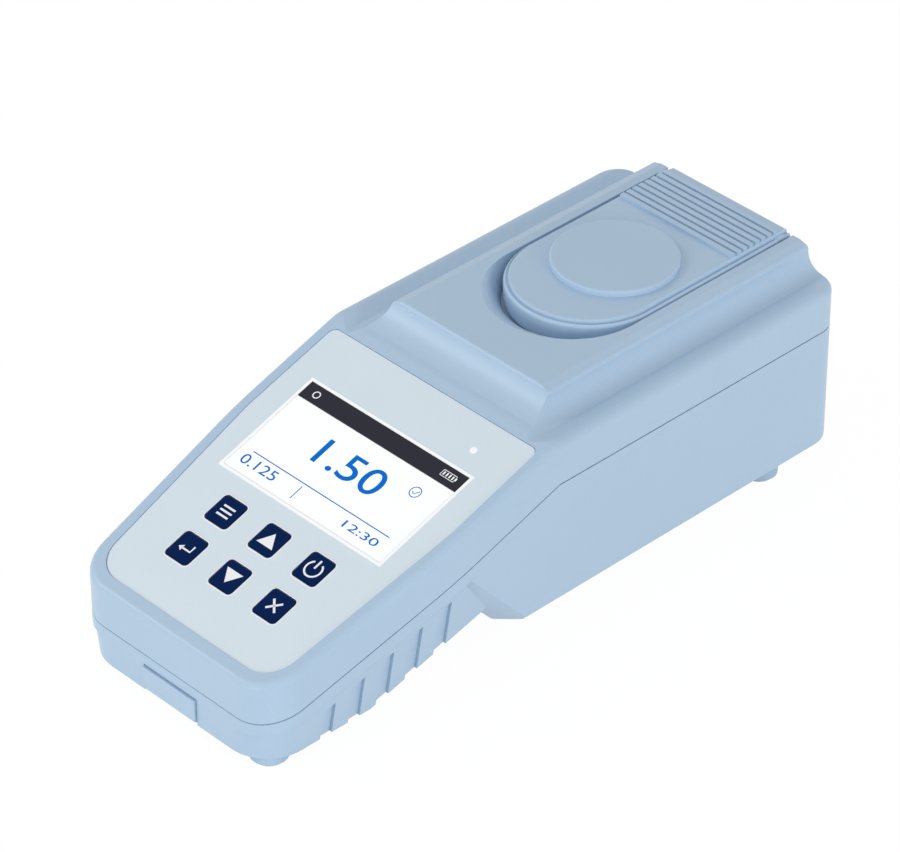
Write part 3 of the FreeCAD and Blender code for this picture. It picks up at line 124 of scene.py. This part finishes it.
table_half = 6.0
table_mesh = bpy.data.meshes.new("table_top")
corners = [(-table_half, -table_half, 0.0), (table_half, -table_half, 0.0),
           (table_half, table_half, 0.0), (-table_half, table_half, 0.0)]
table_mesh.from_pydata(corners, [], [(0, 1, 2, 3)])
table_mesh.materials.append(table_finish)
table_top = bpy.data.objects.new("table_top", table_mesh)
scene.collection.objects.link(table_top)


lamp_aim = Vector((0.0, 0.0, 0.04))
lamp_distance = 1.6


def soft_lamp(name, azimuth, elevation, width, power, mirrored=True):
    lamp = bpy.data.lights.new(name, "AREA")
    lamp.shape = "DISK"
    lamp.size = width
    lamp.energy = power
    away = out_towards(azimuth, elevation)
    holder = bpy.data.objects.new(name, lamp)
    holder.location = lamp_aim + away * lamp_distance
    holder.rotation_mode = "QUATERNION"
    holder.rotation_quaternion = (-away).to_track_quat("-Z", "Y")
    holder.visible_glossy = mirrored
    scene.collection.objects.link(holder)


soft_lamp("lamp_front", azimuth=0.0, elevation=8.0, width=0.8, power=6.9, mirrored=False)
soft_lamp("lamp_right", azimuth=90.0, elevation=8.0, width=0.8, power=8.2, mirrored=False)
soft_lamp("lamp_front_left", azimuth=-55.0, elevation=36.0, width=0.4, power=3.3)

# Upper and lower casing
# Two shells of injection moulded ABS in pale blue, with a fine spark-eroded grain. They meet
# at the parting line and are held together by long screws from below.
casing_blue = (0.455, 0.605, 0.765)
rough_spread = 0.05
bump_strength = 0.6


def start_finish(name):
    material = bpy.data.materials.new(name)
    material.use_nodes = True
    tree = material.node_tree
    return material, tree, tree.nodes["Principled BSDF"]


def tone(colour, factor):
    return tuple(min(channel * factor, 1.0) for channel in colour[:3]) + (1.0,)


def ramp_between(tree, amount, first, second, low=0.35, high=0.65):
    ramp = lay(tree, "ShaderNodeValToRGB", {"Fac": amount})
    ramp.color_ramp.elements[0].position = low
    ramp.color_ramp.elements[0].color = first
    ramp.color_ramp.elements[1].position = high
    ramp.color_ramp.elements[1].color = second
    return ramp.outputs["Color"]


# Moulding grain: faint clouds of colour, and fine specks in colour, gloss and height.
def grained(tree, shader, colour, roughness, clouds=28.0, grain=1500.0, depth=0.000015,
            contrast=0.015):
    place = lay(tree, "ShaderNodeTexCoord").outputs["Object"]
    drift = lay(tree, "ShaderNodeTexNoise", {"Vector": place, "Scale": clouds, "Detail": 3.0})
    specks = lay(tree, "ShaderNodeTexNoise", {"Vector": place, "Scale": grain, "Detail": 2.0})
    speck = specks.outputs["Fac"]
    both = lay(tree, "ShaderNodeMath", {0: drift.outputs["Fac"], 1: speck}, operation="ADD")
    halved = lay(tree, "ShaderNodeMath", {0: both.outputs[0], 1: 0.5}, operation="MULTIPLY")
    darker, paler = tone(colour, 1.0 - contrast), tone(colour, 1.0 + contrast)
    tree.links.new(ramp_between(tree, halved.outputs[0], darker, paler), shader.inputs["Base Color"])
    rough = lay(tree, "ShaderNodeMapRange", {
        "Value": speck,
        "To Min": roughness - rough_spread,
        "To Max": roughness + rough_spread,
    })
    tree.links.new(rough.outputs["Result"], shader.inputs["Roughness"])
    bump = lay(tree, "ShaderNodeBump", {"Height": speck, "Distance": depth, "Strength": bump_strength})
    tree.links.new(bump.outputs["Normal"], shader.inputs["Normal"])
    return place


def plastic(name, colour, roughness, **detail):
    material, tree, shader = start_finish(name)
    grained(tree, shader, colour, roughness, **detail)
    return material


def dress(material, *names):
    for name in names:
        slots = nodes[name].data.materials
        slots.clear()
        slots.append(material)


casing_finish = plastic("pale_blue_moulding", casing_blue, 0.36)
dress(casing_finish, "upper_casing", "lower_casing")

# Seal in the parting line
# A moulded cord of dark rubber that lies in the joint between the two casings. Only its
# outer edge shows, as a thin dark line.
seal_grey = (0.21, 0.27, 0.34)
seal_finish = plastic("dark_seal_rubber", seal_grey, 0.75, grain=2600.0, contrast=0.08)
dress(seal_finish, "seam_gasket")

# Feet
# Four round pads moulded in the casing's plastic, with a softer, duller base. They are
# seated under the corners of both ends.
foot_blue = (0.44, 0.585, 0.745)
foot_finish = plastic("pale_blue_foot", foot_blue, 0.58, grain=1100.0, depth=0.00003)
dress(foot_finish, "front_feet", "rear_feet")

# Screws and pins
# Zinc-plated steel screws hold the casings and the boards, and ground steel pins carry the
# lid and the port cover. Turning leaves fine rings on them.
steel_grey = (0.60, 0.61, 0.63)
steel_finish, tree, shader = start_finish("plated_steel")
place = grained(tree, shader, steel_grey, 0.34, grain=3000.0, contrast=0.06)
turning = lay(tree, "ShaderNodeTexWave", {
    "Vector": place, "Scale": 900.0, "Distortion": 1.5,
}, wave_type="RINGS")
ringed = lay(tree, "ShaderNodeMapRange", {
    "Value": turning.outputs["Fac"], "To Min": 0.24, "To Max": 0.42,
})
tree.links.new(ringed.outputs["Result"], shader.inputs["Roughness"])
shader.inputs["Metallic"].default_value = 1.0
dress(steel_finish, "casing_screws", "board_screws", "optics_screws", "lid_hinge_pin", "port_cover_pin")

# Panel overlay
# A sheet of printed polyester film with a velvet face, laid in a shallow recess of the panel
# and stuck down. It has windows for the display, the lamp and the keys.
overlay_grey = (0.75, 0.84, 0.905)
overlay_finish = plastic("velvet_overlay_film", overlay_grey, 0.55, clouds=60.0, grain=2400.0,
                         depth=0.000008, contrast=0.012)
dress(overlay_finish, "panel_overlay")

panel_tilt = math.radians(18.17)
panel_foot = Vector((0.0, -0.10605, 0.03111))
panel_up = Vector((0.0, math.cos(panel_tilt), math.sin(panel_tilt)))
panel_out = Vector((0.0, -math.sin(panel_tilt), math.cos(panel_tilt)))
panel_frame = Matrix((
    (1.0, 0.0, 0.0, panel_foot.x),
    (0.0, panel_up.y, panel_out.y, panel_foot.y),
    (0.0, panel_up.z, panel_out.z, panel_foot.z),
    (0.0, 0.0, 0.0, 1.0),
))
millimetre = 0.001
on_panel = panel_frame @ Matrix.Scale(millimetre, 4)
overlay_level = -0.30
ink_depth = 0.03
merge_distance = 1e-5


# Flat shapes in millimetres on the panel, pulled up into a thin solid layer of ink.
def printed(name, shapes, level, material, body):
    mesh = bmesh.new()
    for shape in shapes:
        corners = [mesh.verts.new((x, y, level)) for x, y in shape]
        mesh.faces.new(corners)
    bmesh.ops.remove_doubles(mesh, verts=mesh.verts, dist=merge_distance)
    bmesh.ops.recalc_face_normals(mesh, faces=mesh.faces)
    raised = bmesh.ops.extrude_face_region(mesh, geom=list(mesh.faces), use_keep_orig=True)
    lifted = [item for item in raised["geom"] if isinstance(item, bmesh.types.BMVert)]
    bmesh.ops.translate(mesh, verts=lifted, vec=(0.0, 0.0, ink_depth))
    bmesh.ops.triangulate(mesh, faces=[face for face in mesh.faces if len(face.verts) > 4])
    bmesh.ops.recalc_face_normals(mesh, faces=mesh.faces)
    bmesh.ops.transform(mesh, verts=mesh.verts, matrix=on_panel)
    data = bpy.data.meshes.new(name)
    mesh.to_mesh(data)
    mesh.free()
    attach(name, data, material, body)


def attach(name, data, material, body):
    data.materials.clear()
    data.materials.append(material)
    piece = bpy.data.objects.new(name, data)
    scene.collection.objects.link(piece)
    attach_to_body(piece, body)


def bar(x0, y0, x1, y1):
    return [(x0, y0), (x1, y0), (x1, y1), (x0, y1)]


# A line of even width through the points, as one four-cornered shape for each run.
def stroke(points, width):
    sides = []
    for index, point in enumerate(points):
        before = points[max(index - 1, 0)]
        after = points[min(index + 1, len(points) - 1)]
        run = Vector((after[0] - before[0], after[1] - before[1])).normalized()
        across = Vector((-run.y, run.x)) * width / 2
        left = (point[0] + across.x, point[1] + across.y)
        right = (point[0] - across.x, point[1] - across.y)
        sides.append((left, right))
    return [[a[0], a[1], b[1], b[0]] for a, b in zip(sides, sides[1:])]


def arc(cx, cy, radius, first, last, steps=20):
    turns = [math.radians(first + (last - first) * step / steps) for step in range(steps + 1)]
    return [(cx + radius * math.cos(turn), cy + radius * math.sin(turn)) for turn in turns]


# Keys
# Six keycaps moulded in navy plastic stand on sprung domes, each with a symbol printed in
# white. A navy line and a wider white one are printed round each of them on the overlay.
key_navy = (0.0040, 0.0185, 0.087)
key_gloss = 0.01
ink_white = (0.97, 0.97, 0.98)
ink_navy = (0.0045, 0.0205, 0.090)
key_finish = plastic("navy_keycap", key_navy, 0.5, grain=1900.0, depth=0.00001, contrast=0.06)
key_finish.node_tree.nodes["Principled BSDF"].inputs["Specular IOR Level"].default_value = key_gloss
white_ink = plastic("white_screen_ink", ink_white, 0.5, grain=3000.0, depth=0.000003, contrast=0.01)
navy_ink = plastic("navy_screen_ink", ink_navy, 0.5, grain=3000.0, depth=0.000003, contrast=0.02)
key_width, key_length = 8.75, 9.3
key_face = -0.15
key_columns = (-18.2, 0.0, 18.2)
key_rows = (19.5, 35.1)
key_radius = 1.1
border_line = 0.22
border_gap = 0.16
frame_line = 0.45
frame_gap = 0.38


# Rounded line frames, swept along their path and repeated over a grid.
line_tree = bpy.data.node_groups.new("line_frames", "GeometryNodeTree")
line_tree.interface.new_socket(name="Geometry", in_out="OUTPUT", socket_type="NodeSocketGeometry")
line_inputs = {}
for name, kind in (("Columns", "Int"), ("Rows", "Int"), ("Column Pitch", "Float"),
                   ("Row Pitch", "Float"), ("Width", "Float"), ("Length", "Float"),
                   ("Corner", "Float"), ("Line", "Float"), ("Depth", "Float"),
                   ("Material", "Material")):
    socket = line_tree.interface.new_socket(name=name, in_out="INPUT", socket_type="NodeSocket" + kind)
    line_inputs[name] = socket.identifier
given = lay(line_tree, "NodeGroupInput").outputs


def grid_side(count, pitch):
    steps = lay(line_tree, "ShaderNodeMath", {0: count, 1: 1.0}, operation="SUBTRACT").outputs[0]
    return lay(line_tree, "ShaderNodeMath", {0: steps, 1: pitch}, operation="MULTIPLY").outputs[0]


spots = lay(line_tree, "GeometryNodeMeshGrid", {
    "Size X": grid_side(given["Columns"], given["Column Pitch"]),
    "Size Y": grid_side(given["Rows"], given["Row Pitch"]),
    "Vertices X": given["Columns"],
    "Vertices Y": given["Rows"],
})
path = lay(line_tree, "GeometryNodeCurvePrimitiveQuadrilateral", {
    "Width": given["Width"], "Height": given["Length"],
})
corner_steps = 7
rounded = lay(line_tree, "GeometryNodeFilletCurve", {
    "Curve": path.outputs[0], "Radius": given["Corner"], "Count": corner_steps,
}, mode="POLY")
section = lay(line_tree, "GeometryNodeCurvePrimitiveQuadrilateral", {
    "Width": given["Line"], "Height": given["Depth"],
})
swept = lay(line_tree, "GeometryNodeCurveToMesh", {
    "Curve": rounded.outputs[0], "Profile Curve": section.outputs[0],
})
copies = lay(line_tree, "GeometryNodeInstanceOnPoints", {
    "Points": spots.outputs["Mesh"], "Instance": swept.outputs[0],
})
real = lay(line_tree, "GeometryNodeRealizeInstances", {"Geometry": copies.outputs[0]})
inked = lay(line_tree, "GeometryNodeSetMaterial", {
    "Geometry": real.outputs[0], "Material": given["Material"],
})
lay(line_tree, "NodeGroupOutput", {"Geometry": inked.outputs[0]})


def finished_mesh(piece):
    return bpy.data.meshes.new_from_object(piece.evaluated_get(bpy.context.evaluated_depsgraph_get()))


def line_frames(name, centre, level, material, slot, **sizes):
    blank = bpy.data.objects.new(name + "_blank", bpy.data.meshes.new(name + "_blank"))
    scene.collection.objects.link(blank)
    grower = blank.modifiers.new("frames", "NODES")
    grower.node_group = line_tree
    amounts = {"Columns": 1, "Rows": 1, "Column_Pitch": 0.0, "Row_Pitch": 0.0, "Depth": ink_depth}
    amounts.update(sizes)
    for label, amount in amounts.items():
        grower[line_inputs[label.replace("_", " ")]] = amount
    grower[line_inputs["Material"]] = material
    data = finished_mesh(blank)
    blank.modifiers.remove(grower)
    bpy.data.objects.remove(blank)
    lift = Matrix.Translation((centre[0], centre[1], level + ink_depth / 2))
    data.transform(on_panel @ lift)
    data.name = name
    attach(name, data, material, "housing")


key_centres = {
    "key_enter": (key_columns[0], key_rows[0]),
    "key_down": (key_columns[1], key_rows[0]),
    "key_back": (key_columns[2], key_rows[0]),
    "key_menu": (key_columns[0], key_rows[1]),
    "key_up": (key_columns[1], key_rows[1]),
    "key_power": (key_columns[2], key_rows[1]),
}
thin_line, cross_line, cross_reach = 0.6, 0.7, 1.8
menu_reach, menu_half, menu_pitch = 2.3, 0.33, 1.6
arrow_half = 3.2
return_stem = [(2.0, 1.6), (2.0, -0.6), (-1.4, -0.6)]
return_head = [(-2.6, -0.6), (-1.1, -1.7), (-1.1, 0.5)]
power_ring = arc(0.0, -0.1, 2.7, 125.0, 415.0)
symbols = {
    "key_enter": stroke(return_stem, thin_line) + [return_head],
    "key_down": [[(0.0, -2.4), (arrow_half, 2.2), (-arrow_half, 2.2)]],
    "key_back": stroke([(-cross_reach, -cross_reach), (cross_reach, cross_reach)], cross_line)
    + stroke([(-cross_reach, cross_reach), (cross_reach, -cross_reach)], cross_line),
    "key_menu": [bar(-menu_reach, y - menu_half, menu_reach, y + menu_half)
                 for y in (-menu_pitch, 0.0, menu_pitch)],
    "key_up": [[(0.0, 2.6), (-arrow_half, -2.2), (arrow_half, -2.2)]],
    "key_power": stroke(power_ring, thin_line) + [bar(-0.32, 0.2, 0.32, 3.3)],
}
for key, (across, up) in key_centres.items():
    dress(key_finish, key)
    shapes = [[(x + across, y + up) for x, y in shape] for shape in symbols[key]]
    printed(key + "_symbol", shapes, key_face, white_ink, key)
for name, ink, gap, line in (("key_border_lines", navy_ink, border_gap, border_line),
                             ("key_frame_lines", white_ink, frame_gap, frame_line)):
    reach = gap + line / 2
    line_frames(
        name, (0.0, (key_rows[0] + key_rows[1]) / 2), overlay_level, ink, "bezel_plastic",
        Columns=len(key_columns), Rows=len(key_rows),
        Column_Pitch=key_columns[2], Row_Pitch=key_rows[1] - key_rows[0],
        Width=key_width + 2 * reach, Length=key_length + 2 * reach, Corner=key_radius + reach,
        Line=line,
    )

# Display
# A backlit liquid crystal module behind a white moulded bezel. The picture shows a dark bar
# with a battery sign, a reading in blue numbers, thin rules and smaller numbers under them.
bezel_white = (0.96, 0.97, 0.98)
module_grey = (0.16, 0.17, 0.18)
pixel_grain = 4200.0
picture_gloss = 0.05


def add_glow(shader, colour, strength):
    shader.inputs["Emission Color"].default_value = tone(colour, 1.0)
    shader.inputs["Emission Strength"].default_value = strength


bezel_painted_glow_finish, tree, shader = start_finish("white_bezel_painted_glow")
grained(tree, shader, bezel_white, 0.35, grain=2200.0, depth=0.000006, contrast=0.01)
# The bezel is lit by no lamp: its faint white glow is painted light that brightens it.
add_glow(shader, pure_white, 0.12)
dress(bezel_painted_glow_finish, "display_bezel")
module_finish, tree, shader = start_finish("display_module_can")
grained(tree, shader, module_grey, 0.4, contrast=0.05)
shader.inputs["Coat Weight"].default_value = 0.4
dress(module_finish, "lcd_module")


def lit(name, colour, glow):
    material, tree, shader = start_finish(name)
    grained(tree, shader, colour, 0.22, clouds=200.0, grain=pixel_grain, depth=0.0000005,
            contrast=0.006)
    add_glow(shader, colour, glow)
    shader.inputs["Specular IOR Level"].default_value = picture_gloss
    return material


screen_white = lit("display_white", (0.94, 0.96, 0.98), 0.22)
screen_bar = lit("display_dark_bar", (0.029, 0.029, 0.041), 0.1)
screen_blue = lit("display_blue", (0.0005, 0.155, 0.60), 0.12)
screen_grey = lit("display_grey", (0.80, 0.80, 0.81), 0.15)
screen_sign = lit("display_sign_white", (0.9, 0.9, 0.92), 0.2)
glass_level = -0.34
picture_level = glass_level + 0.02
screen_left, screen_right = -32.3, 32.3
screen_low, screen_high = 47.3, 83.6
bar_low = 77.5
edge_line = 0.22


def shown(name, shapes, level, material):
    printed(name, shapes, level, material, "housing")


shown("display_ground", [bar(screen_left, screen_low, screen_right, bar_low)], glass_level, screen_white)
shown("display_bar", [bar(screen_left, bar_low, screen_right, screen_high)], glass_level, screen_bar)
line_frames(
    "display_edge_line", (0.0, (screen_low + bar_low) / 2), picture_level, screen_grey, "display_module",
    Width=screen_right - screen_left - edge_line, Length=bar_low - screen_low - edge_line,
    Corner=0.15, Line=edge_line,
)
long_rule = bar(-27.8, 55.15, 28.2, 55.48)
short_rule = bar(-6.45, 49.2, -6.15, 54.2)
shown("display_rules", [long_rule, short_rule], picture_level, screen_blue)


# Digits set as text and stretched to fill the rectangle given by its two corners.
def numbers(name, digits, x0, y0, x1, y1, weight=0.0):
    letters = bpy.data.curves.new(name, "FONT")
    letters.body = digits
    letters.size = 10.0
    letters.offset = weight
    letters.extrude = ink_depth / 2
    writing = bpy.data.objects.new(name + "_text", letters)
    scene.collection.objects.link(writing)
    bpy.context.view_layer.update()
    data = finished_mesh(writing)
    bpy.data.objects.remove(writing)
    low = Vector([min(vertex.co[axis] for vertex in data.vertices) for axis in range(3)])
    high = Vector([max(vertex.co[axis] for vertex in data.vertices) for axis in range(3)])
    stretch = Matrix.Diagonal(((x1 - x0) / (high.x - low.x), (y1 - y0) / (high.y - low.y), 1.0, 1.0))
    to_corner = Matrix.Translation((-low.x, -low.y, 0.0))
    settle = Matrix.Translation((x0, y0, picture_level + ink_depth)) @ stretch @ to_corner
    data.transform(on_panel @ settle)
    data.name = name
    attach(name, data, screen_blue, "housing")


reading_place = (-11.8, 62.3, 13.4, 71.5)
small_number_place = (-29.2, 50.4, -15.2, 53.9)
clock_place = (13.4, 50.4, 27.0, 53.0)
numbers("display_reading", "1.50", *reading_place, weight=0.04)
numbers("display_small_number", "0.125", *small_number_place)
numbers("display_clock", "12:30", *clock_place)


def ring(name, centre, width, line, material):
    line_frames(name, centre, picture_level, material, "display_module",
                Width=width, Length=width, Corner=width / 2, Line=line)


ring("display_ring", (22.7, 71.2), 3.6, 0.3, screen_blue)
tick_points = [(21.7, 71.2), (22.5, 70.4), (23.8, 72.0)]
shown("display_tick", stroke(tick_points, 0.28), picture_level, screen_blue)
line_frames("display_battery_outline", (26.5, 80.85), picture_level, screen_sign, "display_module",
            Width=5.2, Length=2.1, Corner=0.2, Line=0.2)
cell_start, cell_pitch, cell_width = 24.5, 1.15, 0.5
cell_starts = [cell_start + cell_pitch * step for step in range(4)]
cell_bars = [bar(start, 80.2, start + cell_width, 81.5) for start in cell_starts]
cell_tip = bar(29.2, 80.4, 29.6, 81.3)
shown("display_battery_bars", cell_bars + [cell_tip], picture_level, screen_sign)
ring("display_round_sign", (-27.5, 80.6), 2.25, 0.35, screen_sign)

# Status lamp
# A clear acrylic light pipe that stands on its chip and fills a small round window of the
# panel. Unlit, it looks milky white, and a faint white glow is painted on it as painted light.
pipe_white = (0.93, 0.945, 0.96)
milk_depth = 0.002
pipe_painted_glow_finish, tree, shader = start_finish("milky_light_pipe_painted_glow")
grained(tree, shader, pipe_white, 0.25, grain=900.0, depth=0.00001, contrast=0.015)
# Painted glow: the unlit pipe and the light source are made brighter by emission, not by a lamp.
add_glow(shader, pure_white, 0.15)
shader.inputs["Subsurface Weight"].default_value = 0.2
shader.inputs["Subsurface Radius"].default_value = (milk_depth, milk_depth, milk_depth)
dress(pipe_painted_glow_finish, "status_lamp", "light_source")

# Boards and switches
# Green glass-epoxy circuit boards with copper tracks under the mask carry the display, the
# key switches, the port and the optics. The switches have black bodies.
board_green = (0.02, 0.16, 0.06)
track_green = (0.05, 0.27, 0.12, 1.0)
board_finish, tree, shader = start_finish("green_circuit_board")
place = grained(tree, shader, board_green, 0.36, grain=1200.0, contrast=0.05)
tracks = lay(tree, "ShaderNodeTexBrick", {
    "Vector": place, "Scale": 160.0, "Mortar Size": 0.03, "Brick Width": 0.9, "Row Height": 0.32,
    "Color1": (0.018, 0.15, 0.055, 1.0), "Color2": (0.022, 0.17, 0.065, 1.0), "Mortar": track_green,
})
tree.links.new(tracks.outputs["Color"], shader.inputs["Base Color"])
dress(board_finish, "main_board", "port_board", "source_board", "detector_board")
black_finish = plastic("black_nylon", (0.02, 0.02, 0.022), 0.5, grain=1400.0, contrast=0.12)
dress(black_finish, "key_switches", "battery_cradle", "sample_well", "source_holder", "detector_holder")

# Battery
# Two cylindrical lithium cells in green shrink wrap, taped side by side in a black cradle on
# the grip's sloping floor.
cell_finish, tree, shader = start_finish("green_cell_wrap")
grained(tree, shader, (0.08, 0.30, 0.12), 0.3, grain=700.0, contrast=0.06)
shader.inputs["Coat Weight"].default_value = 0.4
dress(cell_finish, "battery_cells")

# Port and its cover
# A plated steel receptacle on its board stands behind a square opening. A moulded flap in the
# casing's plastic covers it and turns down on a pin at its lower edge.
connector_finish, tree, shader = start_finish("plated_receptacle")
grained(tree, shader, (0.66, 0.67, 0.69), 0.25, grain=2600.0, contrast=0.05)
shader.inputs["Metallic"].default_value = 1.0
dress(connector_finish, "port_connector", "detector")
dress(casing_finish, "port_cover")

# Optics
# A polished lens and a coloured glass filter sit on either side of the sample well, in the
# light's path.
lens_finish, tree, shader = start_finish("optical_glass")
grained(tree, shader, (0.86, 0.92, 0.95), 0.08, grain=600.0, depth=0.000001, contrast=0.01)
shader.inputs["Transmission Weight"].default_value = 0.9
shader.inputs["IOR"].default_value = 1.52
dress(lens_finish, "collimating_lens", "optical_filter")

# Lid
# A round-nosed cover moulded like the casing, with a raised disc over the vial and a ribbed
# thumb rest. It turns on a steel pin, and a rubber ring under the disc shuts out light.
dress(casing_finish, "lid")
dress(seal_finish, "lid_seal")
